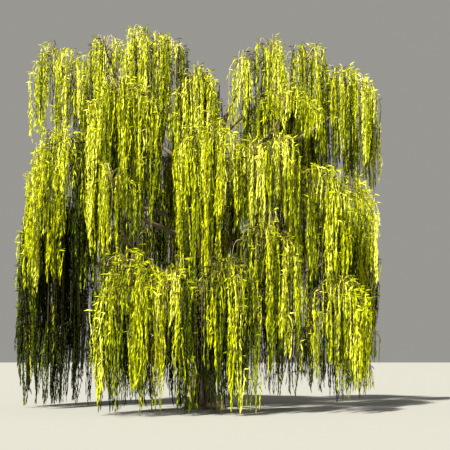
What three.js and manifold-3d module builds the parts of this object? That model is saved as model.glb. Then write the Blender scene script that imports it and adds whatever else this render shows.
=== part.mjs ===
// A mature weeping willow, about 14 m tall and 13 m across, in millimetres with +Z up. The origin is
// the centre of the flat cut under the trunk, at ground level, and -Y is the side that faces the pond.
// The trunk forks low into a left and a right leader. Each bough ends in a mass of weeping foliage: a
// stem that rises to the mass's crest, shoots that arch out of it and hang, and sprays of leaves.
import * as THREE from 'three';
import { mergeVertices } from 'three/addons/utils/BufferGeometryUtils.js';
import Module from 'manifold-3d';

const wasm = await Module();
wasm.setup();

const METRE = 1000;
const UP = new THREE.Vector3(0, 0, 1);
const GOLDEN_ANGLE = Math.PI * (3 - Math.sqrt(5));
const SEED = 7951;

// Clearance between pieces that touch, and the larger clearance kept by leaves and shoots.
const GAP = 0.35;
const LEAF_CLEARANCE = 0.05 * METRE;
const SPACE_MARGIN = 0.05 * METRE;
const GROUND_CLEARANCE = 0.03 * METRE;
const SIMPLIFY = 2;
const SHORTEST_EDGE = 2;
const TIDY_PASSES = 2;

// The trunk, from its root flare to the fork.
const TRUNK_HEIGHT = 2.3 * METRE;
const TRUNK_LEAN = 0.1 * METRE;
const TRUNK_RADIUS = 0.45 * METRE;
const TRUNK_TOP_RADIUS = 0.38 * METRE;
const TRUNK_CROWN_SHARE = 0.93;
const TRUNK_CROWN_NARROWING = 0.6;
const FLARE_WIDTH = 0.34 * METRE;
const FLARE_HEIGHT = 0.3 * METRE;
const FLARE_LOBES = 5;
const FLARE_LOBE_DEPTH = 0.2;
const TRUNK_SIDES = 20;
const TRUNK_RINGS = [0, 0.04, 0.1, 0.2, 0.38, 0.62, 0.84, 0.93, 1];

// The boughs: how thick each is beside its parent limb, and how it leaves and ends.
const LEADER_RADIUS = 0.27 * METRE;
const CHILD_GIRTH = 0.6;
const LEAST_BASE_RADIUS = 0.085 * METRE;
const TIP_RADIUS = 0.05 * METRE;
const BOUGH_SIDES = 6;
const BOUGH_RINGS = 4;
const LEADER_RINGS = 6;
const BOUGH_FOLLOW = 0.45;
const BOUGH_TIP_OUTWARD = 0.75;

// The stem inside a mass, in shares of the mass's spread.
const STEM_RISE = 1.15;
const STEM_RUN = 0.45;
const STEM_SIDES = 4;
const STEM_RINGS = 2;
const STEM_TOP_RADIUS = 0.03 * METRE;
const TWIN_OFFSET = 0.03 * METRE;
const TWIN_STEM_RADIUS = 0.026 * METRE;

// The shoots: they arch up by SAG and LIFT, then fall until they hang straight.
const SHOOT_LIFT = 3.4;
const SHOOT_SAG = 0.36;
const SHOOT_EDGE_SAG = 0.65;
const SHOOT_FIRST = 0.97;
const SHOOT_EDGE_DROP = 0.52;
const SHOOT_RADIUS = 0.016 * METRE;
const SHOOT_TIP_RADIUS = 0.008 * METRE;
const SHOOT_RAGGED = 0.3;
const SHOOT_RINGS = [0, 0.55, 1.5];
const LEAST_FALL_TIME = 2.2;
const AREA_PER_SHOOT = 6 * METRE * METRE;
const FEWEST_SHOOTS = 5;
const MOST_SHOOTS = 8;

// The leaf sprays: each stands for a bunch of hanging twigs with their leaves.
const SPRAY_LENGTH = 1.45 * METRE;
const SPRAY_WIDTH = 0.4 * METRE;
const SPRAY_THICKNESS = 0.05 * METRE;
const SPRAY_BELLY = -0.1;
const SPRAY_SPACING = 0.85 * METRE;
const SPRAY_FIRST = 0.3 * METRE;
const SPRAY_LAST = 0.95;
const SPRAY_SPLAY = 0.42;
const SPRAY_OUTWARD = 0.28;
const SPRAY_TRIES = [[1, 1], [-1, 1], [0.5, 0.75]];
const SPRAY_CHECKS = 4;

// One row for each mass of foliage. from and at say where its bough leaves its parent limb; crest is
// the mass's highest point, spread its radius and hem the height of its lowest tips, all in metres.
// A row with twin has no bough of its own: its stem starts beside the twin's, on the same bough.
const MASSES = [
  { name: 'crown_left_top', from: 'trunk', at: 0.78, crest: [-2.31, -0.3, 13.94], spread: 1.25, hem: 9.6 },
  { name: 'crown_right_top', from: 'trunk', at: 0.82, crest: [2.71, -0.2, 13.47], spread: 1.05, hem: 10.2 },
  { name: 'crown_left_outer', from: 'crown_left_top', at: 0.52, crest: [-5.53, 0.5, 13.47], spread: 1.3, hem: 9.9 },
  { name: 'crown_left_inner', from: 'crown_left_top', at: 0.66, crest: [-3.79, 0.7, 13.77], spread: 1.05, hem: 9.4 },
  { name: 'crown_left_right', twin: 'crown_left_top', crest: [-1.29, 0.7, 13.73], spread: 1.05, hem: 9.4 },
  { name: 'crown_left_shoulder', from: 'crown_left_top', at: 0.55, crest: [-0.22, -0.8, 12.19], spread: 1.15, hem: 5.7 },
  { name: 'crown_right_inner', twin: 'crown_right_top', crest: [1.34, -0.5, 12.77], spread: 0.85, hem: 9.9 },
  { name: 'crown_right_second', from: 'crown_right_top', at: 0.72, crest: [3.97, 0.8, 13.6], spread: 1.0, hem: 8.9 },
  { name: 'crown_right_outer', from: 'crown_right_top', at: 0.5, crest: [5.11, -0.1, 12.59], spread: 1.05, hem: 8.1 },
  { name: 'crown_right_edge', twin: 'crown_right_outer', crest: [6.11, 0.8, 12.01], spread: 1.0, hem: 8.1 },
  { name: 'crown_right_front', from: 'crown_right_top', at: 0.58, crest: [3.08, -1.7, 11.46], spread: 1.45, hem: 9.4 },
  { name: 'left_mid_front', from: 'crown_left_top', at: 0.44, crest: [-2.89, -2.2, 11.46], spread: 1.35, hem: 5.9 },
  { name: 'left_mid_outer', from: 'crown_left_top', at: 0.36, crest: [-5.02, -1, 9.89], spread: 1.55, hem: 4.1 },
  { name: 'left_low_front', from: 'crown_left_top', at: 0.3, crest: [-3, -3.2, 8.16], spread: 0.95, hem: 5.1 },
  { name: 'centre_mid', from: 'crown_left_top', at: 0.34, crest: [0.31, -2.4, 9.92], spread: 1.3, hem: 4.0 },
  { name: 'mid_centre', from: 'crown_right_top', at: 0.38, crest: [1.67, -2.9, 9.18], spread: 1.05, hem: 5.8 },
  { name: 'mid_right_top', twin: 'mid_centre', crest: [2.74, -3, 9.36], spread: 1.1, hem: 6.0 },
  { name: 'mid_right_big', from: 'crown_right_top', at: 0.3, crest: [3.94, -2.6, 8.31], spread: 1.4, hem: 3.7 },
  { name: 'mid_right_outer', from: 'crown_right_top', at: 0.34, crest: [5.34, -0.6, 8.23], spread: 1.25, hem: 4.3 },
  { name: 'low_right_inner', from: 'crown_right_top', at: 0.18, crest: [2.19, -3.6, 6.33], spread: 1.2, hem: 1.3 },
  { name: 'low_right_outer', from: 'crown_right_top', at: 0.12, crest: [4.6, -3.1, 4.57], spread: 1.3, hem: 0.8 },
  { name: 'front_low_left', from: 'trunk', at: 0.7, crest: [-2.46, -4.2, 5.18], spread: 1.8, hem: 0.1 },
  { name: 'front_low_mid', twin: 'front_low_left', crest: [-0.66, -4.4, 4.75], spread: 1.3, hem: 0.1 },
  { name: 'front_low_right', from: 'trunk', at: 0.74, crest: [0.95, -4, 5.07], spread: 1.25, hem: 0.2 },
  { name: 'left_low_outer', from: 'crown_left_top', at: 0.16, crest: [-5.65, 0.9, 7.59], spread: 1.45, hem: 0.1 },
  { name: 'back_low_left', from: 'crown_left_top', at: 0.08, crest: [-3.06, 3.4, 7.39], spread: 1.75, hem: 0.2 },
  { name: 'back_low_mid', from: 'trunk', at: 0.72, crest: [-0.06, 4, 7.35], spread: 1.75, hem: 0.2 },
  { name: 'back_low_right', from: 'crown_right_top', at: 0.08, crest: [2.98, 3.5, 7.4], spread: 1.75, hem: 0.3 },
  { name: 'right_low_outer', from: 'crown_right_top', at: 0.2, crest: [5.31, 1.4, 7.1], spread: 1.4, hem: 0.3 },
  { name: 'back_mid_centre', from: 'crown_left_top', at: 0.3, crest: [-0.53, 3.3, 10.48], spread: 1.8, hem: 4.4 },
  { name: 'back_high_left', from: 'crown_left_top', at: 0.48, crest: [-3.29, 2.7, 12.49], spread: 1.85, hem: 5.0 },
  { name: 'back_high_right', from: 'crown_right_top', at: 0.48, crest: [3.14, 2.9, 12.34], spread: 1.85, hem: 5.0 },
];

const BARK = new THREE.MeshStandardMaterial({ color: 0x5a4a36, roughness: 0.95, metalness: 0 });
const FOLIAGE = new THREE.MeshStandardMaterial({ color: 0xa3ae1e, roughness: 0.6, metalness: 0 });

// A repeatable stream of numbers from 0 to 1.
function seeded(seed) {
  let state = seed >>> 0;
  return () => {
    state = (Math.imul(state, 1664525) + 1013904223) >>> 0;
    return state / 4294967296;
  };
}

const mix = (a, b, share) => a + (b - a) * share;

// The path of a shoot: it leaves start towards heading, slows down sideways within its run, rises to
// a small arch and then falls straight down to the height low.
class Fountain extends THREE.Curve {
  constructor(start, heading, run, sag, low) {
    super();
    Object.assign(this, { start, heading, run, sag, low });
    this.fallTime = Math.max(LEAST_FALL_TIME, (start.z + SHOOT_LIFT * sag - low) / sag);
  }

  getPoint(share, target = new THREE.Vector3()) {
    const time = share * this.fallTime;
    const slowing = 1 - Math.exp(-time);
    return target.set(
      this.start.x + Math.cos(this.heading) * this.run * slowing,
      this.start.y + Math.sin(this.heading) * this.run * slowing,
      this.start.z + SHOOT_LIFT * this.sag * slowing - this.sag * time,
    );
  }
}

// A closed stick along a curve, with a ring at each of the given shares of it. radiusAt takes the
// share and the angle round the stick. extra thickens the stick and lengthens both its ends.
function stick(curve, rings, radiusAt, sides, extra = 0) {
  const shape = new THREE.CylinderGeometry(1, 1, 1, sides, rings.length - 1);
  const centres = rings.map((share) => curve.getPoint(share));
  const tangents = rings.map((share) => curve.getTangent(share));
  centres[0].addScaledVector(tangents[0], -extra);
  centres.at(-1).addScaledVector(tangents.at(-1), extra);
  const across = Math.abs(tangents[0].z) > 0.9 ? new THREE.Vector3(1, 0, 0) : UP.clone();
  const frames = tangents.map((tangent) => {
    across.addScaledVector(tangent, -across.dot(tangent)).normalize();
    return { normal: across.clone(), binormal: across.clone().cross(tangent) };
  });
  const places = shape.getAttribute('position');
  const point = new THREE.Vector3();
  for (let i = 0; i < places.count; i += 1) {
    const ring = Math.round((places.getY(i) + 0.5) * (rings.length - 1));
    const x = places.getX(i);
    const z = places.getZ(i);
    const reach = Math.hypot(x, z) < 0.5 ? 0 : radiusAt(rings[ring], Math.atan2(z, x)) + extra;
    point.copy(centres[ring]);
    point.addScaledVector(frames[ring].normal, x * reach);
    point.addScaledVector(frames[ring].binormal, z * reach);
    places.setXYZ(i, point.x, point.y, point.z);
  }
  return shape;
}

// A closed geometry as a solid that can be joined and cut.
function solid(geometry) {
  const bare = geometry.clone();
  bare.deleteAttribute('normal');
  bare.deleteAttribute('uv');
  const merged = mergeVertices(bare, 1e-3);
  const vertProperties = new Float32Array(merged.getAttribute('position').array);
  const triVerts = new Uint32Array(merged.index ? merged.index.array : []);
  return new wasm.Manifold(new wasm.Mesh({ numProp: 3, vertProperties, triVerts }));
}

// The same solid without its shortest edges: the two ends of each become one corner, so that no sliver
// is left where pieces were joined. An edge whose ends have more than two neighbours in common stays,
// because the surface would pinch there.
function withoutShortEdges(manifold) {
  const { vertProperties, triVerts } = manifold.getMesh();
  const count = vertProperties.length / 3;
  const corners = Array.from({ length: count }, (_, i) => new THREE.Vector3().fromArray(vertProperties, 3 * i));
  const places = new Map(corners.map((corner, i) => [corner.toArray().join(), i]));
  const heads = corners.map((corner) => places.get(corner.toArray().join()));
  const headOf = (i) => (heads[i] === i ? i : headOf(heads[i]));
  const neighbours = corners.map(() => new Set());
  const edges = Array.from(triVerts, (from, k) => [from, triVerts[k % 3 === 2 ? k - 2 : k + 1]].map(headOf));
  edges.forEach(([from, to]) => neighbours[from].add(to));
  edges.forEach((edge) => {
    const [kept, gone] = edge.map(headOf);
    if (kept === gone || corners[kept].distanceTo(corners[gone]) > SHORTEST_EDGE) return;
    const shared = [...neighbours[kept]].filter((other) => neighbours[gone].has(other));
    if (shared.length !== 2) return;
    heads[gone] = kept;
    neighbours[gone].forEach((other) => {
      neighbours[other].delete(gone);
      if (other !== kept) {
        neighbours[other].add(kept);
        neighbours[kept].add(other);
      }
    });
  });
  const faces = [];
  for (let k = 0; k < triVerts.length; k += 3) {
    const face = Array.from(triVerts.slice(k, k + 3), headOf);
    if (new Set(face).size === 3) faces.push(...face);
  }
  return new wasm.Manifold(new wasm.Mesh({ numProp: 3, vertProperties, triVerts: new Uint32Array(faces) }));
}

function tidied(manifold) {
  let tidy = manifold;
  for (let pass = 0; pass < TIDY_PASSES; pass += 1) tidy = withoutShortEdges(tidy.simplify(SIMPLIFY));
  return tidy;
}

function geometryOf(manifold) {
  const { vertProperties, triVerts } = manifold.getMesh();
  const geometry = new THREE.BufferGeometry();
  geometry.setAttribute('position', new THREE.BufferAttribute(vertProperties, 3));
  geometry.setIndex(new THREE.BufferAttribute(triVerts, 1));
  geometry.computeVertexNormals();
  return geometry;
}

const largestBody = (manifold) => manifold.decompose()
  .reduce((best, body) => (body.volume() > best.volume() ? body : best));

const evenRings = (count) => Array.from({ length: count + 1 }, (_, i) => i / count);

// The trunk leans a little, spreads into lobed roots at the ground and rounds off inside the fork.
function makeTrunk() {
  const top = new THREE.Vector3(TRUNK_LEAN, -TRUNK_LEAN / 2, TRUNK_HEIGHT);
  const curve = new THREE.QuadraticBezierCurve3(
    new THREE.Vector3(0, 0, 0),
    new THREE.Vector3(0, 0, TRUNK_HEIGHT / 2),
    top,
  );
  const radiusAt = (share, angle = 0) => {
    const spreading = Math.exp((-share * TRUNK_HEIGHT) / FLARE_HEIGHT);
    const lobed = 1 + FLARE_LOBE_DEPTH * spreading * Math.cos(FLARE_LOBES * angle);
    const narrowing = share > TRUNK_CROWN_SHARE ? TRUNK_CROWN_NARROWING : 1;
    return (mix(TRUNK_RADIUS, TRUNK_TOP_RADIUS, share) * narrowing + FLARE_WIDTH * spreading) * lobed;
  };
  return { name: 'trunk', curve, radiusAt, rings: TRUNK_RINGS, sides: TRUNK_SIDES };
}

const inMetres = ([x, y, z]) => new THREE.Vector3(x, y, z).multiplyScalar(METRE);

// A row of MASSES with its sizes in millimetres.
function measured(row, index) {
  const crest = inMetres(row.crest);
  return { ...row, index, crest, spread: row.spread * METRE, hem: row.hem * METRE };
}

// A bough runs from inside its parent limb to a tip below and inside the crest that it carries, or
// below the middle of two crests where it carries twins.
function makeBough(row, parent, carried) {
  const crest = new THREE.Vector3();
  carried.forEach((mass) => crest.addScaledVector(mass.crest, 1 / carried.length));
  const start = parent.curve.getPoint(row.at);
  const outward = crest.clone().sub(start).setZ(0).normalize();
  const tip = crest.clone()
    .addScaledVector(UP, -STEM_RISE * row.spread)
    .addScaledVector(outward, -STEM_RUN * row.spread);
  const length = tip.distanceTo(start);
  const towards = tip.clone().sub(start).normalize();
  const leaving = parent.curve.getTangent(row.at).lerp(towards, 1 - BOUGH_FOLLOW).normalize();
  const ending = outward.clone().multiplyScalar(BOUGH_TIP_OUTWARD).add(UP).normalize();
  const curve = new THREE.CubicBezierCurve3(
    start,
    start.clone().addScaledVector(leaving, length * 0.35),
    tip.clone().addScaledVector(ending, -length * 0.3),
    tip,
  );
  const isLeader = parent.name === 'trunk' && row.crest.z > 10 * METRE;
  const baseRadius = isLeader
    ? LEADER_RADIUS
    : Math.max(LEAST_BASE_RADIUS, CHILD_GIRTH * parent.radiusAt(row.at));
  const radiusAt = (share) => mix(Math.min(baseRadius, LEADER_RADIUS), TIP_RADIUS, share ** 0.85);
  const rings = evenRings(isLeader ? LEADER_RINGS : BOUGH_RINGS);
  return { name: row.name, curve, radiusAt, rings, sides: BOUGH_SIDES };
}

// Distance from a point to the surface of the nearest limb, by the limbs' straight pieces.
function roomFromLimbs(point, limbs) {
  const line = new THREE.Line3();
  const nearest = new THREE.Vector3();
  let least = Infinity;
  limbs.forEach((limb) => {
    for (let i = 1; i < limb.centres.length; i += 1) {
      line.set(limb.centres[i - 1], limb.centres[i]);
      line.closestPointToPoint(point, true, nearest);
      least = Math.min(least, nearest.distanceTo(point) - limb.girths[i - 1]);
    }
  });
  return least;
}

// How far a point is outside the column that a mass hangs in: negative inside it.
function outsideColumn(point, mass) {
  const above = point.z - (mass.crest.z - mass.spread / 2);
  const below = mass.hem - point.z;
  const aside = Math.hypot(point.x - mass.crest.x, point.y - mass.crest.y);
  return Math.hypot(aside, Math.max(above, below, 0)) - mass.spread;
}

// A mass keeps to the places that are nearer to its own column than to any other mass's.
function inOwnSpace(point, mass, masses) {
  const own = outsideColumn(point, mass) + SPACE_MARGIN;
  return masses.every((other) => other === mass || outsideColumn(point, other) > own);
}

// A spray of leaves as a slim blade with a ridge, hanging from its root along axis, its broad side
// facing away from the middle of the mass.
function makeSpray(root, axis, facing, size) {
  const blade = new THREE.SphereGeometry(1, 3, 2).rotateY(Math.PI / 2);
  const places = blade.getAttribute('position');
  for (let i = 0; i < places.count; i += 1) {
    if (Math.abs(places.getY(i)) < 0.5) places.setY(i, SPRAY_BELLY);
  }
  const length = SPRAY_LENGTH * size;
  const back = axis.clone().negate();
  const side = back.clone().cross(facing).normalize();
  const face = side.clone().cross(back);
  const frame = new THREE.Matrix4().makeBasis(
    side.multiplyScalar((SPRAY_WIDTH * size) / 2),
    back.multiplyScalar(length / 2),
    face.multiplyScalar(SPRAY_THICKNESS / 2),
  );
  frame.setPosition(root.clone().addScaledVector(axis, length / 2));
  return blade.applyMatrix4(frame);
}

// The stem of a mass, from just clear of its bough's tip up to under the crest. Twins start side by
// side, each on the side of its own crest.
function stemCurve(mass, bough, twin) {
  const direction = bough.curve.getTangent(1);
  const start = bough.curve.getPoint(1).addScaledVector(direction, GAP / 2);
  if (twin) {
    const side = mass.crest.clone().sub(twin.crest);
    side.addScaledVector(direction, -side.dot(direction)).normalize();
    start.addScaledVector(side, TWIN_OFFSET);
  }
  const rise = SHOOT_SAG * (SHOOT_LIFT - 1 - Math.log(SHOOT_LIFT)) * mass.spread;
  const top = mass.crest.clone().addScaledVector(UP, -rise);
  const middle = start.clone().addScaledVector(direction, start.distanceTo(top) * 0.5);
  return new THREE.QuadraticBezierCurve3(start, middle, top);
}

// The point of a curve's chord, between two of its rings, that a side piece can be rooted in.
function onChord(curve, rings, share) {
  const after = Math.max(1, rings.findIndex((ring) => ring >= share));
  const part = (share - rings[after - 1]) / (rings[after] - rings[after - 1]);
  return curve.getPoint(rings[after - 1]).lerp(curve.getPoint(rings[after]), part);
}

// The shoots of a mass, spread evenly round its stem by the golden angle. The outer ones leave lower
// on the stem and run further out.
function shootsOf(mass, stem, stemRings, random) {
  const surface = 2 * Math.PI * mass.spread * (mass.crest.z - mass.hem + mass.spread / 2);
  const wanted = Math.round(surface / AREA_PER_SHOOT);
  const count = Math.min(MOST_SHOOTS, Math.max(FEWEST_SHOOTS, wanted));
  const turn = random() * Math.PI * 2;
  return Array.from({ length: count }, (_, k) => {
    const outer = Math.sqrt((k + 0.6) / count);
    const heading = turn + GOLDEN_ANGLE * k + (random() - 0.5) * 0.4;
    const start = onChord(stem, stemRings, SHOOT_FIRST - SHOOT_EDGE_DROP * outer * outer);
    const sag = SHOOT_SAG * mass.spread * (1 - SHOOT_EDGE_SAG * outer * outer);
    const depth = mass.crest.z - mass.hem;
    const low = mass.hem + depth * SHOOT_RAGGED * random() + SPRAY_LENGTH * 0.5;
    return new Fountain(start, heading, mass.spread * outer * 0.92, sag, low);
  });
}

// A shoot is cut short where it would leave the mass's space, touch a limb or reach the ground. It
// gives the last share of the path that may be grown.
function growableShare(path, allowed) {
  const steps = 24;
  for (let i = 3; i <= steps; i += 1) {
    if (!allowed(path.getPoint(i / steps), SHOOT_RADIUS)) return (i - 1) / steps;
  }
  return 1;
}

// A shoot with its sprays, as solids rooted in each other.
function growShoot(path, mass, allowed, random) {
  const end = growableShare(path, allowed);
  const rings = SHOOT_RINGS.map((time) => time / path.fallTime).filter((share) => share < end * 0.9);
  rings.push(end);
  if (rings.length < 3) return [];
  const radiusAt = (share) => mix(SHOOT_RADIUS, SHOOT_TIP_RADIUS, share / end);
  const grown = [solid(stick(path, rings, radiusAt, 3))];
  const length = path.getPoint(0).distanceTo(path.getPoint(end)) + path.run * 0.5;
  const count = Math.max(1, Math.floor((length - SPRAY_FIRST) / SPRAY_SPACING) + 1);
  for (let i = 0; i < count; i += 1) {
    const share = end * mix(SPRAY_FIRST / length, SPRAY_LAST, count === 1 ? 1 : i / (count - 1));
    const root = onChord(path, rings, share);
    const facing = root.clone().sub(mass.crest).setZ(0).normalize();
    const swing = (i % 2 === 0 ? 1 : -1) * SPRAY_SPLAY * mix(0.6, 1.2, random());
    const size = mix(0.85, 1.15, random());
    const spray = SPRAY_TRIES
      .map(([way, part]) => hangSpray(root, path.getTangent(share), facing, swing * way, size * part))
      .find((tried) => sprayAllowed(tried, root, allowed));
    if (spray) grown.push(solid(spray));
  }
  return grown;
}

// A spray at root that hangs between its shoot's direction and straight down, swung to one side.
function hangSpray(root, along, facing, swing, size) {
  const axis = along.multiplyScalar(0.4).sub(UP)
    .addScaledVector(facing.clone().cross(UP), swing)
    .addScaledVector(facing, SPRAY_OUTWARD)
    .normalize();
  return makeSpray(root, axis, facing, size);
}

// A spray is kept only where its middle line, from below its root to its tip, and the corners of its
// belly are in the mass's own space.
function sprayAllowed(spray, root, allowed) {
  const places = spray.getAttribute('position');
  const point = new THREE.Vector3();
  for (let i = 0; i < places.count; i += 1) {
    point.fromBufferAttribute(places, i);
    if (point.distanceTo(root) > 1 && !allowed(point, LEAF_CLEARANCE)) return false;
    for (let step = 1; step < SPRAY_CHECKS; step += 1) {
      point.fromBufferAttribute(places, i).lerp(root, step / SPRAY_CHECKS);
      if (point.distanceTo(root) > 1 && !allowed(point, 0)) return false;
    }
  }
  return true;
}

// A mass of foliage: its stem, the shoots and their sprays, joined into one solid.
function makeFoliage(mass, bough, masses, limbs, limbSpace) {
  const random = seeded(SEED * (mass.index + 1));
  const twin = masses.find((other) => other.twin === mass.name || mass.twin === other.name);
  const stem = stemCurve(mass, bough, twin);
  const stemRings = evenRings(STEM_RINGS);
  const stemRadius = twin ? TWIN_STEM_RADIUS : TIP_RADIUS * 0.8;
  const stemRadiusAt = (share) => mix(stemRadius, STEM_TOP_RADIUS, share);
  const allowed = (point, clearance) => point.z > GROUND_CLEARANCE + clearance
    && inOwnSpace(point, mass, masses)
    && roomFromLimbs(point, limbs) > clearance + LEAF_CLEARANCE;
  const grown = shootsOf(mass, stem, stemRings, random)
    .flatMap((path) => growShoot(path, mass, allowed, random));
  const whole = grown.reduce(
    (joined, piece) => joined.add(piece),
    solid(stick(stem, stemRings, stemRadiusAt, STEM_SIDES)),
  );
  return largestBody(tidied(whole.subtract(limbSpace)));
}

function named(name, manifold, material) {
  const mesh = new THREE.Mesh(geometryOf(manifold), material);
  mesh.name = name;
  return mesh;
}

// The limbs, each cut clear of those that were made before it.
function growLimbs(masses) {
  const limbs = new Map([['trunk', makeTrunk()]]);
  masses.filter((mass) => !mass.twin).forEach((mass) => {
    const carried = [mass, ...masses.filter((other) => other.twin === mass.name)];
    limbs.set(mass.name, makeBough(mass, limbs.get(mass.from), carried));
  });
  let taken = null;
  limbs.forEach((limb) => {
    const { curve, rings, radiusAt, sides } = limb;
    limb.centres = rings.map((share) => curve.getPoint(share));
    limb.girths = rings.map((share) => radiusAt(share));
    const raw = solid(stick(curve, rings, radiusAt, sides));
    const grownRound = solid(stick(curve, rings, radiusAt, sides, GAP));
    limb.solid = taken ? largestBody(raw.subtract(taken)) : raw;
    taken = taken ? taken.add(grownRound) : grownRound;
  });
  return { limbs, limbSpace: taken };
}

const masses = MASSES.map(measured);
const { limbs, limbSpace } = growLimbs(masses);
const willow = new THREE.Group();
limbs.forEach((limb) => {
  const name = limb.name === 'trunk' ? 'trunk' : `bough_${limb.name}`;
  willow.add(named(name, limb.solid, BARK));
});
masses.forEach((mass) => {
  const bough = limbs.get(mass.twin ?? mass.name);
  const foliage = makeFoliage(mass, bough, masses, [...limbs.values()], limbSpace);
  willow.add(named(`foliage_${mass.name}`, foliage, FOLIAGE));
});

export default willow;
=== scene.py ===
# The looks of a mature weeping willow, in metres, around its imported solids. Bark with furrows stands for
# the trunk and boughs. Each mass of foliage is grown again by the source's rule, carried to finer twigs:
# a stem rises to the crest, shoots arch out of it and hang, whips hang from the shoots, and leaves sit
# on both.
import math

import bpy
import numpy as np
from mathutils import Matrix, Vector


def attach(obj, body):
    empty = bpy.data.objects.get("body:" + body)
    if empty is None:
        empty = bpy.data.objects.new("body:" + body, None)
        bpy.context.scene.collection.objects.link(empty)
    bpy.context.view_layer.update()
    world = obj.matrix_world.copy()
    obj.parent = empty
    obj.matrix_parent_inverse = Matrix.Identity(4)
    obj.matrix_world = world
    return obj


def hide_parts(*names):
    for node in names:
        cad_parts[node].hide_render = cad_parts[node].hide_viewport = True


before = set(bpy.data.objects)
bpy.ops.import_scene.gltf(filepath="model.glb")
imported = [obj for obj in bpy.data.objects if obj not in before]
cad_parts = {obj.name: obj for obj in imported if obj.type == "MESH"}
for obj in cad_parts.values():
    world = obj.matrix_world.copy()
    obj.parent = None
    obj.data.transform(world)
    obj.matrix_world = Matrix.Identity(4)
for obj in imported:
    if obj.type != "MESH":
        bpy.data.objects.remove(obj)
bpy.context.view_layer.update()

GOLDEN_ANGLE = math.pi * (3 - math.sqrt(5))
UP = np.array([0.0, 0.0, 1.0])

# The seeds of the source's rule, of the finer growth and of the tints, and the source's way of drawing
# its random numbers.
SEED = 7951
GROWTH_SEED = 1000
TINT_SEED = 7
STREAM_FACTOR = 1664525
STREAM_STEP = 1013904223
STREAM_SIZE = 2 ** 32

# The trunk, from its root flare to the fork, as in the solids.
TRUNK_HEIGHT = 2.3
TRUNK_LEAN = 0.1
TRUNK_RADIUS = 0.45
TRUNK_TOP_RADIUS = 0.38
TRUNK_CROWN_SHARE = 0.93
TRUNK_CROWN_NARROWING = 0.6
FLARE_WIDTH = 0.34
FLARE_HEIGHT = 0.3
FLARE_LOBES = 5
FLARE_LOBE_DEPTH = 0.2
TRUNK_RINGS = 8

# The boughs and the stems, as in the solids. A bough from the trunk to a crest above LEADER_CREST is a
# leader.
LEADER_CREST = 10
LEADER_RADIUS = 0.27
CHILD_GIRTH = 0.6
LEAST_BASE_RADIUS = 0.085
TIP_RADIUS = 0.05
BOUGH_TAPER = 0.85
BOUGH_RINGS = 4
LEADER_RINGS = 6
BOUGH_FOLLOW = 0.45
BOUGH_TIP_OUTWARD = 0.75
BOUGH_START_PULL = 0.35
BOUGH_TIP_PULL = 0.3
STEM_RISE = 1.15
STEM_RUN = 0.45
STEM_GIRTH = 0.8
STEM_TOP_RADIUS = 0.03

# The shoots, as in the solids.
SHOOT_LIFT = 3.4
SHOOT_SAG = 0.36
SHOOT_EDGE_SAG = 0.65
SHOOT_FIRST = 0.97
SHOOT_EDGE_DROP = 0.52
SHOOT_INNERMOST = 0.6
SHOOT_RUN = 0.92
SHOOT_TURN = 0.4
SHOOT_RAGGED = 0.3
LEAST_FALL_TIME = 2.2
AREA_PER_SHOOT = 6
FEWEST_SHOOTS = 5
MOST_SHOOTS = 8

# More shoots between those of the solids: how many for each, times a mass's DENSITY. A shoot has leaves
# and whips from LEAFY_TIME on. A share of the new ones arch higher and stay bare until BARE_TIME, more
# of them and for longer round the highest crests.
EXTRA_SHOOTS = 4.5
EXTRA_TURN = 0.3
EXTRA_RAGGED = 0.7
EXTRA_RAGGED_POWER = 1.2
DENSITY = {"left_low_outer": 1.9, "front_low_mid": 1.4, "front_low_right": 1.6, "back_low_mid": 0.8,
           "back_low_left": 0.9, "back_low_right": 0.8, "back_mid_centre": 0.8, "back_high_right": 0.85}
SHOOT_SAG_RANGE = (0.7, 1.25)
HIGH_CREST = 11.0
LEAFY_TIME = 0.35
BARE_SHARE = 0.12
BARE_TIME = 1.5
HIGH_BARE_SHARE = 0.36
HIGH_BARE_TIME = 2.2
BARE_SAG = 1.55
SHOOT_RADII = (0.014, 0.001)
SHOOT_STEPS = 12
SHOOT_CROWDING = 1.8
TWIG_SIDES = 3

# The whips on the shoots. A whip's run grows with the mass's spread and by WHIP_REACH, and by up to
# HIGH_WHIP_REACH more the nearer it is rooted to its shoot's start.
WHIP_LIFT = 2.1
WHIP_SPACING = 0.43
FEWEST_WHIPS = 4
WHIP_LAST = 0.94
WHIP_RADII = (0.004, 0.002)
WHIP_STEPS = 3
WHIP_CROWDING = 2.2
WHIP_RUN = (0.08, 0.42)
WHIP_REACH = 0.6
HIGH_WHIP_REACH = 0.9
WHIP_SAG = (0.1, 0.26)
WHIP_DROP = (1.0, 3.4)
WHIP_RAGGED = 0.28
WHIP_BELOW_SHOOT = 0.5
SHORTEST_WHIP = 0.3
WHIP_TURN = 1.1
WHIP_GATHER = 0.7
GATHER_TIME = 12
WHIP_CURL = 0.6
CURL_PACE = 0.35
CURL_VARIETY = 5

# The leaves, as folded kites.
LEAF_LENGTH = (0.14, 0.27)
LEAF_WIDTH = 0.033
LEAF_WIDEST = 0.42
LEAF_SPACING = 0.06
SHOOT_LEAF_SPACING = 1.6 * LEAF_SPACING
LEAF_ANGLE = (0.06, 0.45)
LEAF_DROOP = 0.45
LEAF_FOLD = 0.3
LEAF_TWIST = 0.5
MOST_LEAVES_IN_A_PIECE = 98000

# How far a mass may reach into its neighbours' space, and the clearances that its leaves keep.
NEIGHBOUR_OVERLAP = 0.18
LIMB_CLEARANCE = 0.02
GROUND_CLEARANCE = 0.03

# Sky shows between the two crowns in a V: its foot, its half width there and how far its sides lean. A
# shoot is left out where it hangs in the V at GAP_SHOOT_TIME, and a whip where it hangs there, or out of
# its mass's space, at WHIP_CHECK_TIME.
GAP_FOOT = (0.87, 10.8)
GAP_HALF_WIDTH = 0.07
GAP_LEANS = (-0.3, 0.08)
GAP_FRINGE = 0.1
GAP_SHOOT_TIME = 3.0
WHIP_CHECK_TIME = 1.5

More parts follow.
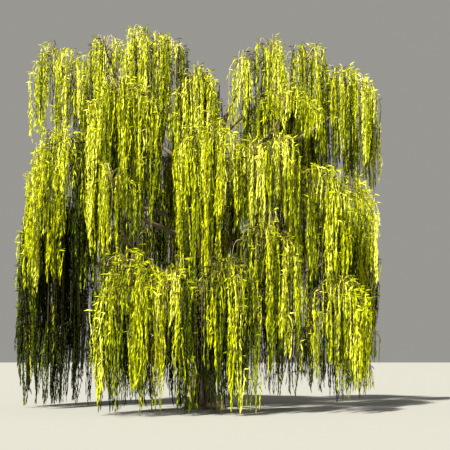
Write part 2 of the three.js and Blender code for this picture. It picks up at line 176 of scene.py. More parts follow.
# One row for each mass of foliage, as in the solids.
MASSES = [
    dict(name="crown_left_top", start="trunk", at=0.78,
         crest=(-2.31, -0.3, 13.94), spread=1.25, hem=9.6),
    dict(name="crown_right_top", start="trunk", at=0.82,
         crest=(2.71, -0.2, 13.47), spread=1.05, hem=10.2),
    dict(name="crown_left_outer", start="crown_left_top", at=0.52,
         crest=(-5.53, 0.5, 13.47), spread=1.3, hem=9.9),
    dict(name="crown_left_inner", start="crown_left_top", at=0.66,
         crest=(-3.79, 0.7, 13.77), spread=1.05, hem=9.4),
    dict(name="crown_left_right", twin="crown_left_top",
         crest=(-1.29, 0.7, 13.73), spread=1.05, hem=9.4),
    dict(name="crown_left_shoulder", start="crown_left_top", at=0.55,
         crest=(-0.22, -0.8, 12.19), spread=1.15, hem=5.7),
    dict(name="crown_right_inner", twin="crown_right_top",
         crest=(1.34, -0.5, 12.77), spread=0.85, hem=9.9),
    dict(name="crown_right_second", start="crown_right_top", at=0.72,
         crest=(3.97, 0.8, 13.6), spread=1.0, hem=8.9),
    dict(name="crown_right_outer", start="crown_right_top", at=0.5,
         crest=(5.11, -0.1, 12.59), spread=1.05, hem=8.1),
    dict(name="crown_right_edge", twin="crown_right_outer",
         crest=(6.11, 0.8, 12.01), spread=1.0, hem=8.1),
    dict(name="crown_right_front", start="crown_right_top", at=0.58,
         crest=(3.08, -1.7, 11.46), spread=1.45, hem=9.4),
    dict(name="left_mid_front", start="crown_left_top", at=0.44,
         crest=(-2.89, -2.2, 11.46), spread=1.35, hem=5.9),
    dict(name="left_mid_outer", start="crown_left_top", at=0.36,
         crest=(-5.02, -1, 9.89), spread=1.55, hem=4.1),
    dict(name="left_low_front", start="crown_left_top", at=0.3,
         crest=(-3, -3.2, 8.16), spread=0.95, hem=5.1),
    dict(name="centre_mid", start="crown_left_top", at=0.34,
         crest=(0.31, -2.4, 9.92), spread=1.3, hem=4.0),
    dict(name="mid_centre", start="crown_right_top", at=0.38,
         crest=(1.67, -2.9, 9.18), spread=1.05, hem=5.8),
    dict(name="mid_right_top", twin="mid_centre",
         crest=(2.74, -3, 9.36), spread=1.1, hem=6.0),
    dict(name="mid_right_big", start="crown_right_top", at=0.3,
         crest=(3.94, -2.6, 8.31), spread=1.4, hem=3.7),
    dict(name="mid_right_outer", start="crown_right_top", at=0.34,
         crest=(5.34, -0.6, 8.23), spread=1.25, hem=4.3),
    dict(name="low_right_inner", start="crown_right_top", at=0.18,
         crest=(2.19, -3.6, 6.33), spread=1.2, hem=1.3),
    dict(name="low_right_outer", start="crown_right_top", at=0.12,
         crest=(4.6, -3.1, 4.57), spread=1.3, hem=0.8),
    dict(name="front_low_left", start="trunk", at=0.7,
         crest=(-2.46, -4.2, 5.18), spread=1.8, hem=0.1),
    dict(name="front_low_mid", twin="front_low_left",
         crest=(-0.66, -4.4, 4.75), spread=1.3, hem=0.1),
    dict(name="front_low_right", start="trunk", at=0.74,
         crest=(0.95, -4, 5.07), spread=1.25, hem=0.2),
    dict(name="left_low_outer", start="crown_left_top", at=0.16,
         crest=(-5.65, 0.9, 7.59), spread=1.45, hem=0.1),
    dict(name="back_low_left", start="crown_left_top", at=0.08,
         crest=(-3.06, 3.4, 7.39), spread=1.75, hem=0.2),
    dict(name="back_low_mid", start="trunk", at=0.72,
         crest=(-0.06, 4, 7.35), spread=1.75, hem=0.2),
    dict(name="back_low_right", start="crown_right_top", at=0.08,
         crest=(2.98, 3.5, 7.4), spread=1.75, hem=0.3),
    dict(name="right_low_outer", start="crown_right_top", at=0.2,
         crest=(5.31, 1.4, 7.1), spread=1.4, hem=0.3),
    dict(name="back_mid_centre", start="crown_left_top", at=0.3,
         crest=(-0.53, 3.3, 10.48), spread=1.8, hem=4.4),
    dict(name="back_high_left", start="crown_left_top", at=0.48,
         crest=(-3.29, 2.7, 12.49), spread=1.85, hem=5.0),
    dict(name="back_high_right", start="crown_right_top", at=0.48,
         crest=(3.14, 2.9, 12.34), spread=1.85, hem=5.0),
]

# The leaf tints paint light and shade into the leaves, from the sunlit tint of the most open spray to the
# deep painted shade of the most hidden, with the share of the sprays that each takes. A spray's turn comes
# by how open it stands: the leaves that hide the sky from it are counted in cubic cells along several ways
# out, and COVER_LEAVES of them on a way let a third of its light through.
TINTS = [
    dict(name="sunlit_lime", colour=(0.74, 0.77, 0.09), share=0.08),
    dict(name="lit_yellow", colour=(0.47, 0.51, 0.002), share=0.25),
    dict(name="half_shaded_green", colour=(0.22, 0.27, 0.001), share=0.19),
    dict(name="shaded_olive", colour=(0.043, 0.068, 0.001), share=0.2),
    dict(name="deep_shaded", colour=(0.006, 0.011, 0.001), share=0.28),
]
COVER_CELL = 0.3
COVER_STEPS = 12
COVER_RISES = (0.1, 0.9, 4.0)
COVER_TURNS = 8
COVER_LEAVES = 60

# What moves a spray's turn: chance by its shoot and by itself, and painted shade, which grows the lower it
# hangs in its mass, the further it is on the side of the crown's middle and the lower its mass's crest is,
# and is set for the masses that are painted dark, or painted bright where their SHADED value is below zero.
SHOOT_TINT_SPREAD = 0.6
WHIP_TINT_SPREAD = 0.42
FALLEN_SHADE = 1.1
INNER_SHADE = 0.8
LOW_SHADE = 0.035
CROWN_MIDDLE = (0.3, 0.0)
SHADED = {"left_low_outer": 0.95, "back_low_left": 0.4, "right_low_outer": 0.3, "front_low_right": 0.25,
          "front_low_left": 0.15, "front_low_mid": 0.15, "low_right_outer": 0.15, "low_right_inner": 0.1,
          "left_low_front": -0.1, "centre_mid": -0.15, "mid_centre": -0.15, "mid_right_top": -0.15}

# The bark's mesh: its sides, its rings and how deep its furrows are beside the radius. The sides of a
# limb that starts steeper than STEEP count from the x axis, and those of any other from above.
STEEP = 0.9
TRUNK_BARK = (110, 90, 0.09)
LEADER_BARK = (40, 220, 0.12)
BOUGH_BARK = (18, 70, 0.12)
STEM_BARK = (8, 14, 0.1)

# The furrows: the size of their cells round a limb, how they stretch along it, how narrow they are and
# how they waver.
FURROW_CELL = 0.055
FURROW_STRETCH = 0.22
FURROW_NARROWING = 1.8
WAVER_CELL = 0.09
WAVER = 0.03
WAVER_SEED = 1
FURROW_SEED = 2
NOISE_CELLS = 32

# The surfaces. The bark's grain runs along the limb, from dark furrows to pale ridges.
SPECULAR = 0.06
BARK_COLOUR = (0.2, 0.15, 0.1)
BARK_ROUGHNESS = 0.95
BARK_STRETCH = (9, 9, 2)
BARK_FURROW = (0.045, 0.032, 0.02, 1)
BARK_FURROW_END = 0.32
BARK_RIDGE = (0.3, 0.24, 0.165, 1)
BARK_RIDGE_START = 0.68
LEAFY_TWIG_COLOUR = (0.18, 0.15, 0.04)
STRAW_TWIG_COLOUR = (0.6, 0.52, 0.28)
TWIG_ROUGHNESS = 0.7
LEAF_ROUGHNESS = 0.55

# The stage, the light from the sky and the sun, and the camera.
FLOOR_SIZE = 600
FLOOR_COLOUR = (0.3, 0.3, 0.29)
FLOOR_ROUGHNESS = 0.9
SKY_COLOUR = (1.0, 0.97, 0.9)
SKY_STRENGTH = 0.32
SUN_DIRECTION = (0.4, 0.75, -0.95)
SUN_STRENGTH = 10.3
SUN_DEGREES = 3
SUN_COLOUR = (1.0, 0.96, 0.84)
CAMERA_PLACE = (0.79, -36, 1.8)
CAMERA_TILT_DEGREES = 97.5
CAMERA_LENS = 80.24
CAMERA_SENSOR = 36
CAMERA_RANGE = 1000


def seeded(seed):
    """The source's repeatable stream of numbers from 0 to 1."""
    state = seed
    while True:
        state = (state * STREAM_FACTOR + STREAM_STEP) % STREAM_SIZE
        yield state / STREAM_SIZE


def unit(vectors):
    return vectors / np.linalg.norm(vectors, axis=-1, keepdims=True)


def mix(a, b, share):
    return a + (b - a) * share


def bezier(points, share):
    """The point of a Bezier curve at each share."""
    share = np.asarray(share, float)[..., None]
    points = [np.asarray(p, float) for p in points]
    while len(points) > 1:
        points = [a + (b - a) * share for a, b in zip(points, points[1:])]
    return points[0]


def bezier_tangent(points, share):
    steps = [np.asarray(b, float) - np.asarray(a, float) for a, b in zip(points, points[1:])]
    return unit(bezier(steps, share))


# The limbs.
def trunk_radius(share, angle=0.0):
    share = np.asarray(share, float)
    spreading = np.exp(-share * TRUNK_HEIGHT / FLARE_HEIGHT)
    lobed = 1 + FLARE_LOBE_DEPTH * spreading * np.cos(FLARE_LOBES * angle)
    narrowing = np.where(share > TRUNK_CROWN_SHARE, TRUNK_CROWN_NARROWING, 1.0)
    return (mix(TRUNK_RADIUS, TRUNK_TOP_RADIUS, share) * narrowing + FLARE_WIDTH * spreading) * lobed


def make_trunk():
    top = (TRUNK_LEAN, -TRUNK_LEAN / 2, TRUNK_HEIGHT)
    points = [(0, 0, 0), (0, 0, TRUNK_HEIGHT / 2), top]
    return dict(name="trunk", points=points, radius=trunk_radius, rings=TRUNK_RINGS, bark=TRUNK_BARK)


def make_bough(row, parent, carried):
    """A bough runs from inside its parent limb to a tip below and inside the crest that it carries."""
    crest = np.mean([mass["crest"] for mass in carried], axis=0)
    start = bezier(parent["points"], row["at"])
    outward = unit((crest - start) * (1, 1, 0))
    tip = crest - UP * STEM_RISE * row["spread"] - outward * STEM_RUN * row["spread"]
    length = np.linalg.norm(tip - start)
    along = bezier_tangent(parent["points"], row["at"])
    leaving = unit(mix(along, unit(tip - start), 1 - BOUGH_FOLLOW))
    ending = unit(outward * BOUGH_TIP_OUTWARD + UP)
    after_start = start + leaving * length * BOUGH_START_PULL
    before_tip = tip - ending * length * BOUGH_TIP_PULL
    is_leader = parent["name"] == "trunk" and row["crest"][2] > LEADER_CREST
    girth = max(LEAST_BASE_RADIUS, CHILD_GIRTH * float(parent["radius"](row["at"])))
    base = LEADER_RADIUS if is_leader else min(girth, LEADER_RADIUS)

    def radius(share, angle=0.0):
        return mix(base, TIP_RADIUS, np.asarray(share, float) ** BOUGH_TAPER)

    return dict(name=row["name"], points=[start, after_start, before_tip, tip], radius=radius,
                rings=LEADER_RINGS if is_leader else BOUGH_RINGS,
                bark=LEADER_BARK if is_leader else BOUGH_BARK)


def grow_limbs():
    limbs = {"trunk": make_trunk()}
    for row in MASSES:
        if "twin" not in row:
            carried = [row] + [other for other in MASSES if other.get("twin") == row["name"]]
            limbs[row["name"]] = make_bough(row, limbs[row["start"]], carried)
    return limbs


def limb_segments(limbs):
    """Every limb as straight pieces: start, end and radius."""
    starts, ends, radii = [], [], []
    for limb in limbs.values():
        shares = np.linspace(0, 1, limb["rings"] * 2 + 1)
        centres = bezier(limb["points"], shares)
        starts.extend(centres[:-1])
        ends.extend(centres[1:])
        radii.extend(limb["radius"](shares[:-1]))
    return np.array(starts), np.array(ends), np.array(radii)


def room_from_limbs(points, segments):
    """Distance from each point to the surface of the nearest limb."""
    least = np.full(len(points), np.inf)
    for start, end, radius in zip(*segments):
        along = end - start
        share = np.clip((points - start) @ along / (along @ along), 0, 1)
        aside = points - start - share[:, None] * along
        least = np.minimum(least, np.sqrt(np.einsum("ij,ij->i", aside, aside)) - radius)
    return least


# The space of each mass.
def outside_column(points, mass):
    """How far each point is outside the column that a mass hangs in: negative inside it."""
    crest = np.array(mass["crest"])
    above = points[:, 2] - (crest[2] - mass["spread"] / 2)
    below = mass["hem"] - points[:, 2]
    aside = np.hypot(points[:, 0] - crest[0], points[:, 1] - crest[1])
    return np.hypot(aside, np.maximum(np.maximum(above, below), 0)) - mass["spread"]


def in_own_space(points, mass):
    """Points above the ground that no other mass's column is nearer to by more than the overlap."""
    own = outside_column(points, mass) - NEIGHBOUR_OVERLAP
    inside = points[:, 2] > GROUND_CLEARANCE
    for other in MASSES:
        if other is not mass:
            inside &= outside_column(points, other) > own
    return inside


def in_gap(points, rng):
    """Points in the V of sky between the two crowns, with a ragged fringe."""
    rise = points[:, 2] - GAP_FOOT[1]
    aside = points[:, 0] - GAP_FOOT[0]
    fringe = rng.normal(0, GAP_FRINGE, len(points)) - GAP_HALF_WIDTH
    return (rise > 0) & (aside > GAP_LEANS[0] * rise + fringe) & (aside < GAP_LEANS[1] * rise - fringe)


# Paths that arch and hang. Every value may be an array with one entry for each path. A time counts from
# 0 at a path's root, and by 3 the path hangs almost straight.
def fountain(start, heading, run, sag, time, lift, gather=0.0):
    """The point of each path at its time. Paths that gather draw in again below their arch, and curl."""
    slowing = 1 - np.exp(-time)
    heading = heading + gather * WHIP_CURL * np.sin(CURL_PACE * time + CURL_VARIETY * heading)
    reach = run * slowing * (1 - gather * np.clip((time - 1) / GATHER_TIME, 0, 1))
    return np.stack([
        start[..., 0] + np.cos(heading) * reach,
        start[..., 1] + np.sin(heading) * reach,
        start[..., 2] + lift * sag * slowing - sag * time,
    ], axis=-1)


def fall_time(start, sag, low, lift):
    """The time at which each path comes down to its low end."""
    return np.maximum(LEAST_FALL_TIME, (start[..., 2] + lift * sag - low) / sag)


def points_at(paths, time, lift):
    """Where each path is at a time."""
    return fountain(paths["start"], paths["heading"], paths["run"], paths["sag"],
                    np.full(len(paths["run"]), time), lift)


def chosen(paths, wanted):
    """Some of the paths, or one of them."""
    return {name: values[wanted] for name, values in paths.items()}


def stem_points(mass, bough):
    """A stem goes on from its bough's tip to just under the crest that its shoots arch over."""
    tip = np.array(bough["points"][-1])
    direction = bezier_tangent(bough["points"], 1.0)
    rise = SHOOT_SAG * (SHOOT_LIFT - 1 - math.log(SHOOT_LIFT)) * mass["spread"]
    top = np.array(mass["crest"]) - UP * rise
    return [tip, tip + direction * np.linalg.norm(top - tip) * 0.5, top]


def stem_radius(share, angle=0.0):
    return mix(TIP_RADIUS * STEM_GIRTH, STEM_TOP_RADIUS, share)


def shoots_of(mass, index, stem, rng):
    """The source's shoots of a mass, and more between them: start, heading, run, sag and low end."""
    random = seeded(SEED * (index + 1))
    crest_z, hem, spread = mass["crest"][2], mass["hem"], mass["spread"]
    depth = crest_z - hem
    surface = 2 * math.pi * spread * (depth + spread / 2)
    count = min(MOST_SHOOTS, max(FEWEST_SHOOTS, math.floor(surface / AREA_PER_SHOOT + 0.5)))
    turn = next(random) * math.pi * 2
    outer, heading, low = [], [], []
    for k in range(count):
        outer.append(math.sqrt((k + SHOOT_INNERMOST) / count))
        heading.append(turn + GOLDEN_ANGLE * k + (next(random) - 0.5) * SHOOT_TURN)
        low.append(hem + depth * SHOOT_RAGGED * next(random))
    extra = round(EXTRA_SHOOTS * DENSITY.get(mass["name"], 1) * surface / AREA_PER_SHOOT)
    for k in range(extra):
        outer.append(math.sqrt((k + rng.random()) / extra))
        heading.append(turn + GOLDEN_ANGLE * (k + 0.5) + rng.normal() * EXTRA_TURN)
        low.append(hem + depth * EXTRA_RAGGED * rng.random() ** EXTRA_RAGGED_POWER)
    outer = np.array(outer)
    is_high = crest_z > HIGH_CREST
    bare_share = HIGH_BARE_SHARE if is_high else BARE_SHARE
    bare_time = HIGH_BARE_TIME if is_high else BARE_TIME
    is_bare = np.append(np.zeros(count, bool), rng.random(extra) < bare_share)
    start = bezier(stem, SHOOT_FIRST - SHOOT_EDGE_DROP * outer ** 2)
    sag = SHOOT_SAG * spread * (1 - SHOOT_EDGE_SAG * outer ** 2)
    sag[count:] *= np.where(is_bare[count:], BARE_SAG, rng.uniform(*SHOOT_SAG_RANGE, extra))
    return dict(start=start, heading=np.array(heading), run=spread * outer * SHOOT_RUN, sag=sag,
                low=np.array(low), first=np.where(is_bare, bare_time, LEAFY_TIME), bare=is_bare)


def whips_on(shoot, mass, rng):
    """The whips that hang from one shoot, all down its length."""
    start, low = shoot["start"], shoot["low"]
    end = fall_time(start, shoot["sag"], low, SHOOT_LIFT)
    number = max(FEWEST_WHIPS, round((start[2] - low + shoot["run"]) / WHIP_SPACING))
    times = (np.arange(number) + rng.random(number)) / number * end * WHIP_LAST
    times = np.maximum(times, shoot["first"])
    heading = np.full(number, shoot["heading"])
    roots = fountain(start, heading, shoot["run"], shoot["sag"], times, SHOOT_LIFT)
    reach = WHIP_REACH + HIGH_WHIP_REACH * np.exp(-times)
    turns = shoot["heading"] + rng.uniform(-WHIP_TURN, WHIP_TURN, number)
    runs = rng.uniform(*WHIP_RUN, number) * reach * mass["spread"]
    sags = rng.uniform(*WHIP_SAG, number)
    depth = mass["crest"][2] - mass["hem"]
    hem = mass["hem"] + depth * WHIP_RAGGED * rng.random(number) ** 2
    lows = np.maximum(roots[:, 2] - rng.uniform(*WHIP_DROP, number), hem)
    lows = np.maximum(lows, low - WHIP_BELOW_SHOOT * rng.random(number))
    whips = dict(start=roots, heading=turns, run=runs, sag=sags, low=lows,
                 first=np.zeros(number), owner=np.full(number, shoot["owner"]))
    return chosen(whips, roots[:, 2] - lows > SHORTEST_WHIP)


def whips_of(shoots, mass, rng):
    rows = [whips_on(chosen(shoots, i), mass, rng) for i in range(len(shoots["run"]))]
    return {name: np.concatenate([row[name] for row in rows]) for name in rows[0]}


def grow_paths(mass, index, stem, rng):
    """The shoots and whips of a mass that keep out of the gap and out of other masses' space."""
    shoots = shoots_of(mass, index, stem, rng)
    shoots = chosen(shoots, ~in_gap(points_at(shoots, GAP_SHOOT_TIME, SHOOT_LIFT), rng))
    shoots["owner"] = np.arange(len(shoots["run"]))
    whips = whips_of(shoots, mass, rng)
    ends = points_at(whips, WHIP_CHECK_TIME, WHIP_LIFT)
    kept = in_own_space(ends, mass) & in_own_space(whips["start"], mass) & ~in_gap(ends, rng)
    return shoots, chosen(whips, kept)


def twig_nodes(paths, steps, crowding, lift, gather=0.0):
    """The times and points at which each twig bends, crowded towards its arch."""
    end = fall_time(paths["start"], paths["sag"], paths["low"], lift)
    times = end[:, None] * np.linspace(0, 1, steps + 1) ** crowding
    heading, run, sag = (paths[name][:, None] for name in ("heading", "run", "sag"))
    return times, fountain(paths["start"][:, None, :], heading, run, sag, times, lift, gather)


def tube_faces(sides, steps):
    """The triangles between the rings of a tube."""
    ring = np.arange(sides)
    after = (ring + 1) % sides
    quads = np.stack([ring, after, after + sides, ring + sides], axis=1)
    faces = np.concatenate([quads[:, [0, 1, 2]], quads[:, [0, 2, 3]]])
    return (faces[None] + sides * np.arange(steps)[:, None, None]).reshape(-1, 3)


def tubes(centres, headings, radii):
    """Slim tubes through the nodes of the twigs, as vertices and faces."""
    steps = centres.shape[1] - 1
    tangents = unit(np.gradient(centres, axis=1))
    across = np.stack([-np.sin(headings), np.cos(headings), np.zeros_like(headings)], axis=-1)[:, None, :]
    across = np.broadcast_to(across, tangents.shape)
    facing = np.cross(tangents, across)
    radius = mix(radii[0], radii[1], np.linspace(0, 1, steps + 1))[None, :, None]
    corners = [centres + radius * (math.cos(turn) * across + math.sin(turn) * facing)
               for turn in np.arange(TWIG_SIDES) * 2 * math.pi / TWIG_SIDES]
    vertices = np.stack(corners, axis=2).reshape(-1, 3)
    offsets = TWIG_SIDES * (steps + 1) * np.arange(len(centres))
    faces = tube_faces(TWIG_SIDES, steps)
    return vertices, (faces[None] + offsets[:, None, None]).reshape(-1, 3)


def leaves_on(nodes, times, first, spacing, rng):
    """Where leaves sit on one twig from a time on, and the direction that the twig has there."""
    steps = np.diff(nodes, axis=0)
    lengths = np.concatenate([[0], np.cumsum(np.linalg.norm(steps, axis=1))])
    places = np.arange(np.interp(first, times, lengths) + spacing * rng.random(), lengths[-1], spacing)
    roots = np.stack([np.interp(places, lengths, nodes[:, axis]) for axis in range(3)], axis=1)
    return roots, unit(steps)[np.searchsorted(lengths, places, side="right") - 1]


def leaf_kites(roots, along, rng):
    """A folded kite of two triangles for each leaf: root, one side, tip, other side."""
    number = len(roots)
    random_vector = unit(rng.normal(size=(number, 3)))
    side = unit(np.cross(along, random_vector))
    angle = rng.uniform(*LEAF_ANGLE, number)[:, None]
    axis = along * np.cos(angle) + side * np.sin(angle)
    axis[:, 2] -= LEAF_DROOP
    axis = unit(axis)
    width_way = unit(np.cross(axis, side + LEAF_TWIST * random_vector))
    normal = np.cross(width_way, axis)
    length = rng.uniform(*LEAF_LENGTH, number)[:, None]
    half = LEAF_WIDTH / 2 * length / np.mean(LEAF_LENGTH)
    tips = roots + axis * length
    middle = roots + axis * length * LEAF_WIDEST - normal * half * LEAF_FOLD
    return np.stack([roots, middle + width_way * half, tips, middle - width_way * half], axis=1)


def mesh_piece(name, vertices, faces, material):
    """Triangles as one piece of the tree."""
    mesh = bpy.data.meshes.new(name)
    mesh.vertices.add(len(vertices))
    mesh.vertices.foreach_set("co", np.ascontiguousarray(vertices, np.float32).ravel())
    mesh.loops.add(faces.size)
    mesh.loops.foreach_set("vertex_index", np.ascontiguousarray(faces, np.int32).ravel())
    mesh.polygons.add(len(faces))
    mesh.polygons.foreach_set("loop_start", np.arange(0, faces.size, 3, dtype=np.int32))
    mesh.update(calc_edges=True)
    mesh.materials.append(material)
    piece = bpy.data.objects.new(name, mesh)
    bpy.context.scene.collection.objects.link(piece)
    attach(piece, "root")
    return piece


# The materials.
def plain_material(name, colour, roughness):
    material = bpy.data.materials.new(name)
    material.use_nodes = True
    shader = material.node_tree.nodes["Principled BSDF"]
    shader.inputs["Base Color"].default_value = (*colour, 1)
    shader.inputs["Roughness"].default_value = roughness
    shader.inputs["Specular IOR Level"].default_value = SPECULAR
    return material


def new_node(nodes, kind, **inputs):
    node = nodes.new(kind)
    for name, value in inputs.items():
        node.inputs[name].default_value = value
    return node


def bark_material():
    material = plain_material("bark", BARK_COLOUR, BARK_ROUGHNESS)
    nodes, links = material.node_tree.nodes, material.node_tree.links
    shader = nodes["Principled BSDF"]
    place = new_node(nodes, "ShaderNodeTexCoord")
    stretch = new_node(nodes, "ShaderNodeMapping", Scale=BARK_STRETCH)
    grain = new_node(nodes, "ShaderNodeTexNoise", Scale=2.2, Detail=8, Roughness=0.65)
    ramp = new_node(nodes, "ShaderNodeValToRGB")
    bump = new_node(nodes, "ShaderNodeBump", Strength=0.6, Distance=0.03)
    furrow, ridge = ramp.color_ramp.elements
    furrow.position = BARK_FURROW_END
    furrow.color = BARK_FURROW
    ridge.position = BARK_RIDGE_START
    ridge.color = BARK_RIDGE
    links.new(place.outputs["Object"], stretch.inputs["Vector"])
    links.new(stretch.outputs["Vector"], grain.inputs["Vector"])
    links.new(grain.outputs["Fac"], ramp.inputs["Fac"])
    links.new(ramp.outputs["Color"], shader.inputs["Base Color"])
    links.new(grain.outputs["Fac"], bump.inputs["Height"])
    links.new(bump.outputs["Normal"], shader.inputs["Normal"])
    return material


# The bark: tubes along the limbs, with furrows that run along them.
def smooth_noise(points, cell, seed):
    """Smooth noise from 0 to 1 at each point, with features of about the cell's size."""
    lattice = np.random.default_rng(seed).random((NOISE_CELLS, NOISE_CELLS, NOISE_CELLS))
    scaled = points / cell
    low = np.floor(scaled).astype(int)
    share = scaled - low
    share = share * share * (3 - 2 * share)
    total = np.zeros(points.shape[:-1])
    for corner in np.ndindex(2, 2, 2):
        weight = np.prod(np.where(np.array(corner) == 1, share, 1 - share), axis=-1)
        at = (low + corner) % NOISE_CELLS
        total += weight * lattice[at[..., 0], at[..., 1], at[..., 2]]
    return total


def furrows(around, along, girth):
    """How far the bark stands out, from 0 in a furrow to 1 on a ridge."""
    along = np.broadcast_to(along * FURROW_STRETCH, girth.shape)
    surface = np.stack([np.cos(around) * girth, np.sin(around) * girth, along], axis=-1)
    waver = smooth_noise(surface, WAVER_CELL, WAVER_SEED) * 2 - 1
    noise = smooth_noise(surface + waver[..., None] * WAVER, FURROW_CELL, FURROW_SEED)
    return np.clip(1 - np.abs(noise * 2 - 1) * FURROW_NARROWING, 0, 1)


def normals_along(tangents):
    """A direction across the limb at each ring, with no twist from one ring to the next."""
    across = np.array([1.0, 0, 0]) if abs(tangents[0][2]) > STEEP else UP
    normals = []
    for tangent in tangents:
        across = unit(across - tangent * (across @ tangent))
        normals.append(across)
    return np.array(normals)


def bark_tube(points, radius_at, sides, rings, relief):
    """A limb as a tube with furrowed bark, open at its hidden root and closed at its tip."""
    shares = np.linspace(0, 1, rings + 1)
    centres = bezier(points, shares)
    tangents = bezier_tangent(points, shares)
    normals = normals_along(tangents)
    binormals = np.cross(normals, tangents)
    around = np.linspace(0, 2 * math.pi, sides, endpoint=False)[None, :]
    radius = radius_at(shares[:, None], around) * np.ones_like(around)
    length = np.linalg.norm(np.diff(centres, axis=0), axis=1).sum()
    radius = radius * (1 - relief * (1 - furrows(around, shares[:, None] * length, radius)))
    outward = (np.cos(around)[..., None] * normals[:, None]
               + np.sin(around)[..., None] * binormals[:, None])
    walls = centres[:, None] + radius[..., None] * outward
    vertices = np.concatenate([walls.reshape(-1, 3), centres[-1:]])
    last_ring = sides * rings + np.arange(sides)
    middle = np.full(sides, len(vertices) - 1)
    cap = np.stack([last_ring, np.roll(last_ring, -1), middle], axis=1)
    return vertices, np.concatenate([tube_faces(sides, rings), cap])


def joined(parts):
    """Several meshes as one: vertices and faces."""
    vertices, faces, offset = [], [], 0
    for part_vertices, part_faces in parts:
        vertices.append(part_vertices)
        faces.append(part_faces + offset)
        offset += len(part_vertices)
    return np.concatenate(vertices), np.concatenate(faces)


def make_bark(limbs, material):
    trunk, *boughs = [bark_tube(limb["points"], limb["radius"], *limb["bark"]) for limb in limbs.values()]
    piece = mesh_piece("bark_trunk", *trunk, material)
    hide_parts("trunk")
    piece = mesh_piece("bark_boughs", *joined(boughs), material)
    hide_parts(*[f"bough_{name}" for name in limbs if name != "trunk"])


# The foliage.
def grow_sprays(paths, times, nodes, spacing, mass, segments, rng):
    """The leaves of each shoot or whip, as one spray each, and the shoot that each spray belongs to."""
    grown = [leaves_on(*twig, spacing, rng) for twig in zip(nodes, times, paths["first"])]
    numbers = np.repeat(np.arange(len(grown)), [len(roots) for roots, along in grown])
    roots, along = (np.concatenate(values) for values in zip(*grown))
    kites = leaf_kites(roots, along, rng)
    allowed = in_own_space(roots, mass) & (kites[:, 2, 2] > GROUND_CLEARANCE)
    allowed &= (room_from_limbs(roots, segments) > LIMB_CLEARANCE) & ~in_gap(roots, rng)
    kites, numbers = kites[allowed], numbers[allowed]
    starts = np.flatnonzero(np.diff(numbers)) + 1
    owners = paths["owner"][numbers[np.append(0, starts)]]
    return np.split(kites, starts), owners


def hidden_shade(tops, mass):
    """Painted shade for a spray that hangs low in its mass and for one on the side facing the crown's
    middle.
    """
    crest = np.array(mass["crest"])
    fallen = (crest[2] - tops[:, 2]) / (crest[2] - mass["hem"])
    inward = unit(np.array(CROWN_MIDDLE) - crest[:2])
    inner = np.clip((tops[:, :2] - crest[:2]) @ inward / mass["spread"], -1, 1)
    return FALLEN_SHADE * fallen + INNER_SHADE * inner


def grow_mass(mass, index, limbs, segments, sprays, twigs):
    """Adds the mass's sprays, each with its painted shade, and its twigs."""
    rng = np.random.default_rng(GROWTH_SEED + index)
    stem = stem_points(mass, limbs[mass.get("twin", mass["name"])])
    shoots, whips = grow_paths(mass, index, stem, rng)
    # Each shoot's painted shade: the mass's own, less for a higher crest, with chance added.
    shades = SHADED.get(mass["name"], 0) - LOW_SHADE * mass["crest"][2]
    shades = shades + rng.normal(0, SHOOT_TINT_SPREAD, len(shoots["first"]))
    shoot_times, shoot_nodes = twig_nodes(shoots, SHOOT_STEPS, SHOOT_CROWDING, SHOOT_LIFT)
    whip_times, whip_nodes = twig_nodes(whips, WHIP_STEPS, WHIP_CROWDING, WHIP_LIFT, WHIP_GATHER)
    for paths, times, nodes, spacing in [(shoots, shoot_times, shoot_nodes, SHOOT_LEAF_SPACING),
                                         (whips, whip_times, whip_nodes, LEAF_SPACING)]:
        grown, owners = grow_sprays(paths, times, nodes, spacing, mass, segments, rng)
        tops = np.array([kites[0, 0] for kites in grown])
        sprays.extend(zip(grown, shades[owners] + hidden_shade(tops, mass)))
    twigs["stems"].append(bark_tube(stem, stem_radius, *STEM_BARK))
    for kind, some in [("bare", shoots["bare"]), ("leafy", ~shoots["bare"])]:
        twigs[kind].append(tubes(shoot_nodes[some], shoots["heading"][some], SHOOT_RADII))
    twigs["whips"].append(tubes(whip_nodes, whips["heading"], WHIP_RADII))


def openness(middles, leaves):
    """How open each spray stands to the sky, from 0 deep inside the crown to 1 in open air."""
    low = leaves.min(axis=0) - COVER_CELL
    cells = ((leaves - low) / COVER_CELL).astype(int)
    shape = cells.max(axis=0) + 2
    counts = np.bincount(np.ravel_multi_index(cells.T, shape), minlength=int(np.prod(shape)))
    counts = counts.reshape(shape)
    turns = np.arange(COVER_TURNS) * 2 * math.pi / COVER_TURNS
    ways = [unit(np.array([math.cos(turn), math.sin(turn), rise])) for turn in turns for rise in COVER_RISES]
    light = np.zeros(len(middles))
    for way in ways:
        cover = np.zeros(len(middles))
        for step in range(1, COVER_STEPS + 1):
            at = ((middles + way * COVER_CELL * step - low) / COVER_CELL).astype(int)
            cover += counts[tuple(np.clip(at, 0, shape - 1).T)]
        light += np.exp(-cover / COVER_LEAVES) / len(ways)
    return light


def deal_tints(sprays):
    """The leaves of each tint, painted light to painted shade: the most open sprays take the first, and so
    on.
    """
    rng = np.random.default_rng(TINT_SEED)
    middles = np.array([kites[:, 0].mean(axis=0) for kites, shade in sprays])
    leaves = np.concatenate([kites[:, 0] for kites, shade in sprays])
    order = np.argsort(np.argsort(-openness(middles, leaves))) / len(sprays)
    order += rng.normal(0, WHIP_TINT_SPREAD, len(sprays)) + np.array([shade for kites, shade in sprays])
    limits = np.quantile(order, np.cumsum([tint["share"] for tint in TINTS])[:-1])
    turns = np.searchsorted(limits, order)
    return [np.concatenate([sprays[i][0] for i in np.flatnonzero(turns == turn)])
            for turn in range(len(TINTS))]


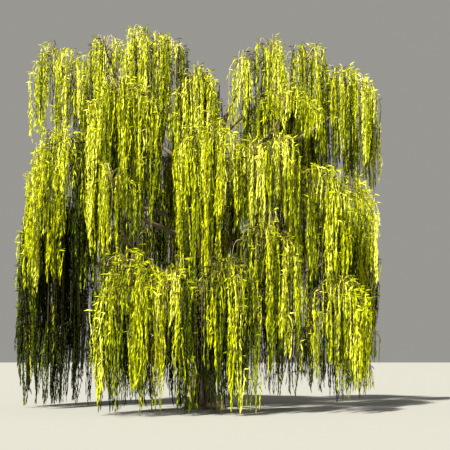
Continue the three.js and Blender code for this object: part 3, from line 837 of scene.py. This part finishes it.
def make_twigs(twigs, bark, nodes):
    leafy = plain_material("twig_leafy", LEAFY_TWIG_COLOUR, TWIG_ROUGHNESS)
    straw = plain_material("twig_straw", STRAW_TWIG_COLOUR, TWIG_ROUGHNESS)
    surfaces = {"stems": bark, "bare": straw, "leafy": leafy, "whips": leafy}
    for kind, parts in twigs.items():
        piece = mesh_piece(f"twigs_{kind}", *joined(parts), surfaces[kind])
        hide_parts(*nodes)


def make_leaves(tint, kites, nodes):
    """The leaves of one tint, a step of painted light and shade, in as few pieces as their limit allows."""
    material = plain_material(f"leaf_{tint['name']}", tint["colour"], LEAF_ROUGHNESS)
    pieces = math.ceil(len(kites) / MOST_LEAVES_IN_A_PIECE)
    for number, part in enumerate(np.array_split(kites, pieces), 1):
        corners = 4 * np.arange(len(part))[:, None, None]
        faces = (corners + np.array([[0, 1, 2], [0, 2, 3]])).reshape(-1, 3)
        piece = mesh_piece(f"leaves_{tint['name']}_{number}", part.reshape(-1, 3), faces, material)
        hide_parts(*nodes)


def make_foliage(limbs, bark):
    segments = limb_segments(limbs)
    sprays = []
    twigs = {"stems": [], "bare": [], "leafy": [], "whips": []}
    for index, mass in enumerate(MASSES):
        grow_mass(mass, index, limbs, segments, sprays, twigs)
    nodes = [f"foliage_{mass['name']}" for mass in MASSES]
    make_twigs(twigs, bark, nodes)
    for tint, kites in zip(TINTS, deal_tints(sprays)):
        make_leaves(tint, kites, nodes)


# The stage, the light and the camera.
def make_stage():
    bpy.ops.mesh.primitive_plane_add(size=FLOOR_SIZE, location=(0, 0, 0))
    floor = bpy.context.object
    floor.name = "floor"
    floor.data.materials.append(plain_material("floor_pale", FLOOR_COLOUR, FLOOR_ROUGHNESS))


def make_sky():
    world = bpy.data.worlds.new("studio")
    world.use_nodes = True
    background = world.node_tree.nodes["Background"]
    background.inputs["Color"].default_value = (*SKY_COLOUR, 1)
    background.inputs["Strength"].default_value = SKY_STRENGTH
    bpy.context.scene.world = world


def make_sun():
    light = bpy.data.lights.new("key", "SUN")
    light.energy = SUN_STRENGTH
    light.angle = math.radians(SUN_DEGREES)
    light.color = SUN_COLOUR
    lamp = bpy.data.objects.new("key", light)
    lamp.rotation_euler = Vector(SUN_DIRECTION).to_track_quat("-Z", "Y").to_euler()
    bpy.context.scene.collection.objects.link(lamp)


def make_camera():
    camera = bpy.data.cameras.new("camera")
    camera.lens = CAMERA_LENS
    camera.sensor_width = CAMERA_SENSOR
    camera.clip_end = CAMERA_RANGE
    holder = bpy.data.objects.new("camera", camera)
    holder.location = CAMERA_PLACE
    holder.rotation_euler = (math.radians(CAMERA_TILT_DEGREES), 0, 0)
    bpy.context.scene.collection.objects.link(holder)
    bpy.context.scene.camera = holder


limbs = grow_limbs()
bark = bark_material()
make_bark(limbs, bark)
make_foliage(limbs, bark)
make_stage()
make_sky()
make_sun()
make_camera()
bpy.context.scene.view_settings.view_transform = "Standard"
